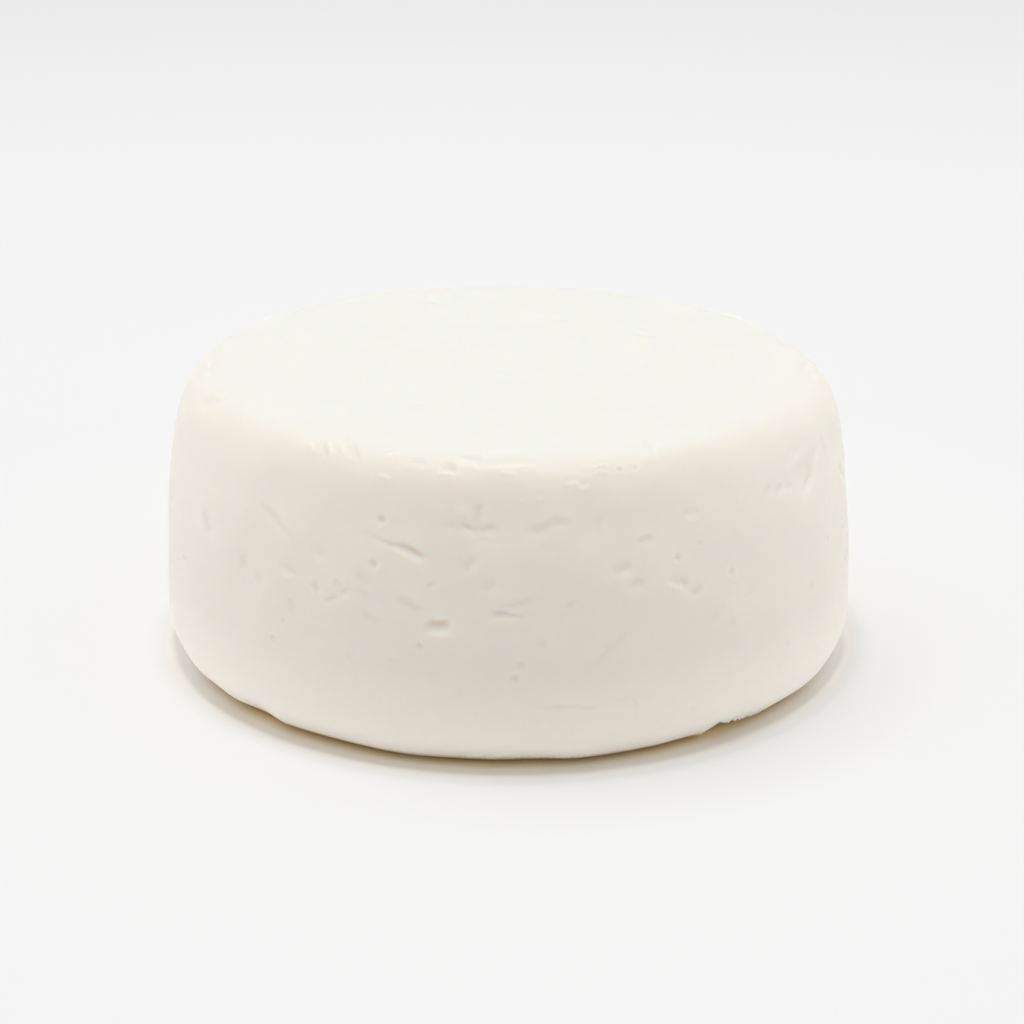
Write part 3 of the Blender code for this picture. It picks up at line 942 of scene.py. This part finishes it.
def sides_of(faces, points_count):
    """The edges that the triangles share, and the numbers of the three that each one has."""
    pairs = np.sort(np.stack([faces, np.roll(faces, -1, axis=1)], axis=2), axis=2)
    keys, numbers = np.unique(pairs[..., 0] * points_count + pairs[..., 1], return_inverse=True)
    edges = np.stack([keys // points_count, keys % points_count], axis=1)
    return edges, numbers.reshape(-1, 3)


def split_faces(points, faces, middles):
    """Splits each triangle by the middles of its sides, where -1 stands for a side left whole."""
    count = (middles >= 0).sum(axis=1)
    first = np.where(count == 1, middles.argmax(axis=1), (middles.argmin(axis=1) + 1) % 3)
    turn = (first[:, None] + np.arange(3)) % 3
    rows = np.arange(len(faces))[:, None]
    faces, middles = faces[rows, turn], middles[rows, turn]
    parts = [faces[count == 0]]
    (a, b, c), (ab, bc, ca) = faces[count == 1].T, middles[count == 1].T
    parts += [np.stack(corners, axis=1) for corners in ((a, ab, c), (ab, b, c))]
    (a, b, c), (ab, bc, ca) = faces[count == 2].T, middles[count == 2].T
    one = np.linalg.norm(points[a] - points[bc], axis=1)
    other = np.linalg.norm(points[ab] - points[c], axis=1)
    near = one < other
    parts.append(np.stack([ab, b, bc], axis=1))
    parts.append(np.stack([a, ab, np.where(near, bc, c)], axis=1))
    parts.append(np.stack([np.where(near, a, ab), bc, c], axis=1))
    (a, b, c), (ab, bc, ca) = faces[count == 3].T, middles[count == 3].T
    inner = ((a, ab, ca), (ab, b, bc), (ca, bc, c), (ab, bc, ca))
    parts += [np.stack(corners, axis=1) for corners in inner]
    return np.concatenate(parts)


def divided(points, faces, form, skin):
    """Splits the edges that are too long for the marks beside them, a round at a time."""
    for _ in range(REFINE_ROUNDS):
        edges, numbers = sides_of(faces, len(points))
        true = form.settled(points)
        start, end = true[edges[:, 0]], true[edges[:, 1]]
        length = np.linalg.norm(end - start, axis=1)
        long = length > skin.wanted_edges((start + end) / 2.0)
        long &= (start[:, 2] > 0.0) | (end[:, 2] > 0.0)
        if not long.any():
            break
        longest = numbers[np.arange(len(faces)), length[numbers].argmax(axis=1)]
        short = longest[long[numbers].any(axis=1) & ~long[longest]]
        while len(short):
            long[short] = True
            short = longest[long[numbers].any(axis=1) & ~long[longest]]
        middles = np.full(len(edges), -1)
        middles[long] = len(points) + np.arange(long.sum())
        points = np.concatenate([points, points[edges[long]].mean(axis=1)])
        faces = split_faces(points, faces, middles[numbers])
    return form.settled(points), faces


def fitted(points, low, high):
    """Moves and barely scales the points so that their box is the one given."""
    lowest, highest = points.min(axis=0), points.max(axis=0)
    return low + (points - lowest) * (high - low) / (highest - lowest)


def drum_mesh(sizes):
    """The whole skin of the drum, in metres, filling the box of its CAD solid."""
    form = Form(sizes)
    skin = Skin(form, sizes)
    points, faces = divided(*turned_drum(form), form, skin)
    mesh = bpy.data.meshes.new("mozzarella_skin")
    mesh.from_pydata(points.tolist(), [], faces.tolist())
    normals = np.empty(len(mesh.vertices) * 3)
    mesh.vertex_normals.foreach_get("vector", normals)
    marked = skin.marked(points)
    swell = swell_relief(points, sizes.swell / MM) * share_of(points[:, 2], 0.0, FOOT_FADE)
    points = points + normals.reshape(-1, 3) * (marked + swell)[:, None]
    points = fitted(points, np.array(CAD_LOW), np.array(CAD_HIGH))
    mesh.vertices.foreach_set("co", points.ravel())
    # The share of painted shade in the hollow at each point, from how deep its mark is
    hollow = mesh.attributes.new(HOLLOW_SHADE_ATTRIBUTE, "FLOAT", "POINT")
    deep = (-marked - HOLLOW_SHADE_START) / (HOLLOW_SHADE_FULL - HOLLOW_SHADE_START)
    hollow.data.foreach_set("value", np.clip(deep, 0.0, 1.0))
    mesh.shade_smooth()
    mesh.update()
    return mesh


class Wire:
    """A socket of a material's nodes, on which Python sums add the nodes of their maths."""

    def __init__(self, tree, socket=None):
        self.tree = tree
        self.socket = socket

    def plug(self, socket, value):
        if isinstance(value, Wire):
            self.tree.links.new(value.socket, socket)
        else:
            socket.default_value = value

    def node(self, kind, settings=None, sockets=None, output=0):
        """A node of that type, with its settings set first and then its sockets filled."""
        made = self.tree.nodes.new(kind)
        for name, value in (settings or {}).items():
            setattr(made, name, value)
        for key, value in (sockets or {}).items():
            self.plug(made.inputs[key], value)
        return Wire(self.tree, made.outputs[output] if made.outputs else None)

    def math(self, operation, first, second):
        return self.node("ShaderNodeMath", {"operation": operation}, {0: first, 1: second})

    def part(self, number):
        """One of the three numbers of a place."""
        return self.node("ShaderNodeSeparateXYZ", None, {0: self}, output=number)

    def clipped(self):
        return self.node("ShaderNodeClamp", None, {0: self})

    def ramp(self, start, full):
        """Rises evenly from 0 at start to 1 at full, which may be the lower of the two."""
        return ((self - start) * (1.0 / (full - start))).clipped()

    def __add__(self, other):
        return self.math("ADD", self, other)

    def __radd__(self, other):
        return self.math("ADD", other, self)

    def __sub__(self, other):
        return self.math("SUBTRACT", self, other)

    def __rsub__(self, other):
        return self.math("SUBTRACT", other, self)

    def __mul__(self, other):
        return self.math("MULTIPLY", self, other)

    def __rmul__(self, other):
        return self.math("MULTIPLY", other, self)

    def __pow__(self, other):
        return self.math("POWER", self, other)

    def __rpow__(self, other):
        return self.math("POWER", other, self)


def fresh_wires(owner):
    """The nodes of a material or a world, emptied for its own."""
    owner.use_nodes = True
    owner.node_tree.nodes.clear()
    return Wire(owner.node_tree)


def blended(wires, share, first, second):
    """A colour between two, by share."""
    settings = {"data_type": "RGBA", "blend_type": "MIX"}
    return wires.node("ShaderNodeMix", settings, {0: share, 6: first, 7: second}, output=2)


def noise(wires, place, size_mm, detail=2.0, roughness=0.5):
    """Noise from 0 to 1 whose lumps are about the size given."""
    sockets = {"Vector": place, "Scale": 1.0 / (size_mm * MM), "Detail": detail}
    sockets["Roughness"] = roughness
    return wires.node("ShaderNodeTexNoise", None, sockets)


def cheese_material(looks):
    """Moist fresh cheese: pale on the crown and creamier on the side, with a broken wet film, and light
    and shade painted into its colours.
    """
    material = bpy.data.materials.new("moist_cheese")
    wires = fresh_wires(material)
    place = wires.node("ShaderNodeTexCoord", output=3)
    height = place.part(2) * (1.0 / CAD_HIGH.z)
    level = height + (CROWN_LEAN / CAD_HIGH.z) * place.part(0)
    blush = BLUSH_SHARE * noise(wires, place, BLUSH_SIZE).ramp(*BLUSH_RAMP)
    mottle = noise(wires, place, MOTTLE_SIZE, detail=3.0)
    paler = tuple(min(1.0, PALER * channel) for channel in looks.crown_colour)
    hollow = wires.node("ShaderNodeAttribute", {"attribute_name": HOLLOW_SHADE_ATTRIBUTE}, output=2)
    colour = looks.side_colour
    for share, tint in (
        (blush, looks.blush_colour),
        # the shoulder's warmer tone, with painted shade under it
        (level.ramp(*SHOULDER_TONE_AND_SHADE), looks.shoulder_tone_and_shade_colour),
        (level.ramp(*CROWN_TINT), looks.crown_colour),
        (MOTTLE_SHARE * mottle.ramp(*MOTTLE_RAMP), paler),
        # painted light over the foot
        (height.ramp(*FOOT_LIGHT_TINT), looks.foot_light_colour),
        # painted shade under the rim
        (height.ramp(*UNDER_SHADE_TINT), looks.under_shade_colour),
        # painted shade and warm light in the hollows of the marks
        (hollow, looks.hollow_shade_colour),
    ):
        colour = blended(wires, share, colour, tint)

    wet = noise(wires, place, PATCH_SIZE, detail=3.0).ramp(*WET_RAMP)
    roughness = looks.roughness + 0.10 * (mottle - 0.5) - 0.06 * wet
    film = looks.moisture * (DRY_FILM + WET_FILM * wet)

    grain = noise(wires, place, GRAIN_SIZE, detail=3.0, roughness=0.6)
    lumps = noise(wires, place, LUMP_SIZE, detail=1.0)
    relief = 0.30 * grain + 0.70 * lumps
    sockets = {"Strength": 0.35, "Distance": 0.05 * MM, "Height": relief}
    bump = wires.node("ShaderNodeBump", None, sockets)

    shader = wires.node(
        "ShaderNodeBsdfPrincipled",
        {"subsurface_method": "RANDOM_WALK"},
        {
            "Base Color": colour,
            "Roughness": roughness,
            "IOR": 1.38,
            "Specular IOR Level": 0.30,
            "Subsurface Weight": looks.translucency,
            "Subsurface Radius": (1.0, 0.72, 0.42),
            "Subsurface Scale": looks.light_depth,
            "Coat Weight": film,
            "Coat Roughness": looks.moisture_roughness,
            "Coat IOR": 1.34,
            "Normal": bump,
        },
    )
    wires.node("ShaderNodeOutputMaterial", None, {"Surface": shader})
    return material


def floor_material(stage):
    """A matt pale floor with light and shade painted round the drum: a painted warm glow at the rim,
    painted shade at the front right, and painted light at the sides, the back and beside the rim.
    """
    material = bpy.data.materials.new("pale_floor")
    wires = fresh_wires(material)
    place = wires.node("ShaderNodeTexCoord", output=3)
    x, y = place.part(0), place.part(1)
    distance = (x * x + y * y) ** 0.5
    right, back = x * distance**-1.0, y * distance**-1.0
    reach = distance * (1.0 / CAD_HIGH.x)
    painted_glow = blended(wires, reach.ramp(*RIM_GLOW_END), stage.rim_glow_colour, stage.painted_glow_colour)
    toward = (DIAGONAL * (right - back)).clipped()
    shade = SHADE_SHARE * toward * toward * reach.ramp(*SHADE_ZONE)
    plain = blended(wires, shade, stage.floor_colour, stage.shade_colour)
    # Painted light: the floor round the sides and the back of the drum is painted lighter, fading out
    # farther away
    front = (-1.0 * back).clipped()
    light_lift = LIGHT_LIFT_SHARE * (1.0 - front * front) * reach.ramp(*LIGHT_LIFT_ZONE)
    plain = blended(wires, light_lift, plain, WHITE)
    colour = blended(wires, reach.ramp(*GLOW_END), painted_glow, plain)
    # Painted light: beside the rim at the left and right, the floor is painted near white where the
    # drum's shadow falls
    edge = EDGE_LIGHT_SHARE * (right * right).ramp(*EDGE_LIGHT_SIDES) * reach.ramp(*EDGE_LIGHT_ZONE)
    colour = blended(wires, edge, colour, WHITE)
    sockets = {"Base Color": colour, "Roughness": 1.0, "Specular IOR Level": 0.0}
    shader = wires.node("ShaderNodeBsdfPrincipled", None, sockets)
    wires.node("ShaderNodeOutputMaterial", None, {"Surface": shader})
    return material


class MOZZARELLA_OT_drum(bpy.types.Operator):
    """Build the skin of the mozzarella drum around its CAD solid"""

    bl_idname = "mozzarella.drum"
    bl_label = "Build the Drum"

    def execute(self, context):
        mesh = drum_mesh(context.scene.mozzarella_sizes)
        mesh.materials.append(cheese_material(context.scene.mozzarella_looks))
        drum = placed("mozzarella_skin", mesh)
        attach(drum, BODY)
        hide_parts(NODE)
        return {"FINISHED"}


class MOZZARELLA_OT_stage(bpy.types.Operator):
    """Lay the pale floor, hang the soft lamp, light the surround and place the camera"""

    bl_idname = "mozzarella.stage"
    bl_label = "Set the Stage"

    def execute(self, context):
        stage = context.scene.mozzarella_stage
        self.lay_floor(stage)
        self.hang_lamp(stage)
        self.light_surround(context, stage)
        self.place_camera(context, stage)
        context.scene.view_settings.view_transform = "Standard"
        return {"FINISHED"}

    def lay_floor(self, stage):
        mesh = bpy.data.meshes.new("floor")
        disc = bmesh.new()
        bmesh.ops.create_circle(disc, cap_ends=True, segments=96, radius=stage.floor_radius)
        disc.to_mesh(mesh)
        disc.free()
        mesh.materials.append(floor_material(stage))
        placed("floor", mesh)

    def hang_lamp(self, stage):
        light = bpy.data.lights.new("soft_lamp", "AREA")
        light.shape = "DISK"
        light.size = stage.lamp_size
        light.energy = stage.lamp_power
        placed("soft_lamp", light).location = stage.lamp_place

    def light_surround(self, context, stage):
        world = bpy.data.worlds.new("white_surround")
        wires = fresh_wires(world)
        heading = wires.node("ShaderNodeTexCoord", output=0)
        right, front = heading.part(0), heading.part(1)
        overhead = 1.0 - right * right - front * front
        sides = 1.0 + stage.surround_sides * (right * right - front * front)
        strength = stage.surround * (sides - stage.surround_overhead * overhead)
        shader = wires.node("ShaderNodeBackground", None, {"Color": WHITE, "Strength": strength})
        wires.node("ShaderNodeOutputWorld", None, {"Surface": shader})
        context.scene.world = world

    def place_camera(self, context, stage):
        data = bpy.data.cameras.new("camera")
        data.sensor_width = SENSOR_MM
        data.lens = stage.camera_focal
        data.clip_start = 0.01
        camera = placed("camera", data)
        elevation = stage.camera_elevation
        middle = Vector((0.0, 0.0, CAD_HIGH.z / 2.0))
        back = Vector((0.0, -math.cos(elevation), math.sin(elevation)))
        up = Vector((0.0, math.sin(elevation), math.cos(elevation)))
        target = middle + Vector((stage.aim_right, 0.0, 0.0)) - up * stage.aim_down
        camera.location = middle + back * stage.camera_distance
        camera.rotation_euler = (target - camera.location).to_track_quat("-Z", "Y").to_euler()
        context.scene.camera = camera


class MOZZARELLA_PT_panel(bpy.types.Panel):
    """The sizes, looks and stage of the mozzarella drum"""

    bl_idname = "MOZZARELLA_PT_panel"
    bl_label = "Mozzarella"
    bl_space_type = "VIEW_3D"
    bl_region_type = "UI"
    bl_category = "Mozzarella"

    def draw(self, context):
        for group, operator in (
            (context.scene.mozzarella_sizes, MOZZARELLA_OT_drum),
            (context.scene.mozzarella_looks, None),
            (context.scene.mozzarella_stage, MOZZARELLA_OT_stage),
        ):
            box = self.layout.box()
            for name in group.bl_rna.properties.keys():
                if name not in ("rna_type", "name"):
                    box.prop(group, name)
            if operator:
                box.operator(operator.bl_idname)


CLASSES = (
    DrumSizes,
    SkinLooks,
    StageSettings,
    MOZZARELLA_OT_drum,
    MOZZARELLA_OT_stage,
    MOZZARELLA_PT_panel,
)
GROUPS = {
    "mozzarella_sizes": DrumSizes,
    "mozzarella_looks": SkinLooks,
    "mozzarella_stage": StageSettings,
}


def register():
    for made in CLASSES:
        bpy.utils.register_class(made)
    for name, group in GROUPS.items():
        setattr(bpy.types.Scene, name, PointerProperty(type=group))


def unregister():
    for name in GROUPS:
        delattr(bpy.types.Scene, name)
    for made in reversed(CLASSES):
        bpy.utils.unregister_class(made)


def main():
    register()
    bpy.ops.mozzarella.drum()
    bpy.ops.mozzarella.stage()


if __name__ == "__main__":
    main()
